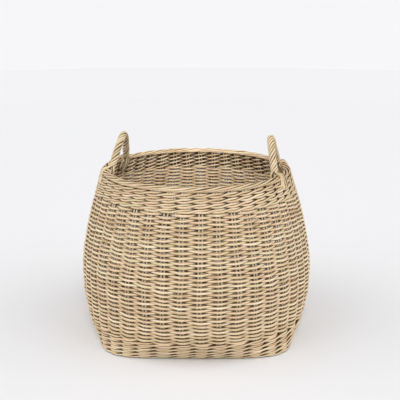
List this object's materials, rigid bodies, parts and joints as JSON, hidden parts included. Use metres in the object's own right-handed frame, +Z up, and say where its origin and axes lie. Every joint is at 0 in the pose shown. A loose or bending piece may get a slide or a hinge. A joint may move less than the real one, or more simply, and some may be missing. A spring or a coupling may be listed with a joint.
{
  "type": "wicker log basket",
  "caption": "Round-bellied wicker log basket on a rounded-square base, with waled foot and top, a rolled border and roped bow handles.",
  "frame": {"origin": "middle of the base at floor level, which is the middle of the bottom of the bounding box", "axes": "+Z up, out of the mouth; -Y is the front; the handles stand near -X and +X, about one stake off the axis"},
  "size_m": [0.5, 0.4996, 0.4213],
  "materials": {
    "weavers": "dry unvarnished rattan rod, matt with a slight sheen",
    "wale_rods": "dry unvarnished rattan rod, matt with a slight sheen",
    "border_rods": "dry unvarnished rattan rod, smooth",
    "stakes": "dry unvarnished rattan rod",
    "base_rods": "dry unvarnished rattan rod",
    "handle_rods": "dry twisted rattan rod, matt"
  },
  "bodies": {
    "root": {"base_weave": "base_rods", "base_sticks": "base_rods", "base_hoop": "base_rods", "foot_wale": "wale_rods", "side_weave_1": "weavers", "side_weave_2": "weavers", "side_weave_3": "weavers", "side_weave_4": "weavers", "top_wale": "wale_rods", "rolled_border": "border_rods", "front_stakes": "stakes", "right_stakes": "stakes", "back_stakes": "stakes", "left_stakes": "stakes", "left_handle_bow": "handle_rods", "left_handle_rope": "handle_rods", "right_handle_bow": "handle_rods", "right_handle_rope": "handle_rods", "left_front_lashing": "handle_rods", "left_back_lashing": "handle_rods", "right_front_lashing": "handle_rods", "right_back_lashing": "handle_rods"}
  },
  "joints": []
}
